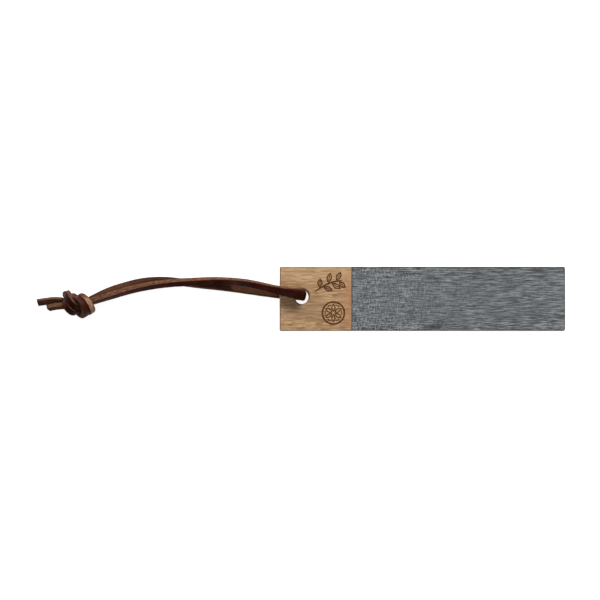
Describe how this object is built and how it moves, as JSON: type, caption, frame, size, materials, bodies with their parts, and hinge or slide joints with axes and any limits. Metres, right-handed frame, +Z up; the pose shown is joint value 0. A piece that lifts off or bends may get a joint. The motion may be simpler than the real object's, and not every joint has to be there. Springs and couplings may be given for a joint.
{
  "type": "whetstone",
  "caption": "Flat pocket whetstone: a fine grey stone slab glued into a beech board, with a knotted leather wrist lace through a hole in the bare wooden end.",
  "frame": {"origin": "centre of the board's box at its base: midway along the board and across it, on the surface that the whetstone stands on", "axes": "+X along the board towards the stone's free end, +Y across it, +Z up; the honing face leans 1.55 degrees towards +X because the lace lifts the wooden end"},
  "size_m": [0.2225, 0.027, 0.0167],
  "materials": {
    "beech": "fine sanded and lightly oiled",
    "hone_stone": "matt, lapped flat",
    "glue": "cured epoxy",
    "leather": "smooth brown grain, rough flesh side"
  },
  "bodies": {
    "block": {"beech_body": "beech", "whetstone_slab": "hone_stone", "adhesive_film": "glue"},
    "lanyard": {"lace_upper_strand": "leather", "lace_lower_strand": "leather", "lace_knot": "leather", "lace_tail_long": "leather", "lace_tail_short": "leather"}
  },
  "joints": [
    {"name": "lanyard_swing", "type": "hinge", "parent": "block", "child": "lanyard", "pos_m": [-0.05078, 0.0008, 0.008], "axis": [0, 0, 1], "range_deg": [-90, 90]}
  ]
}
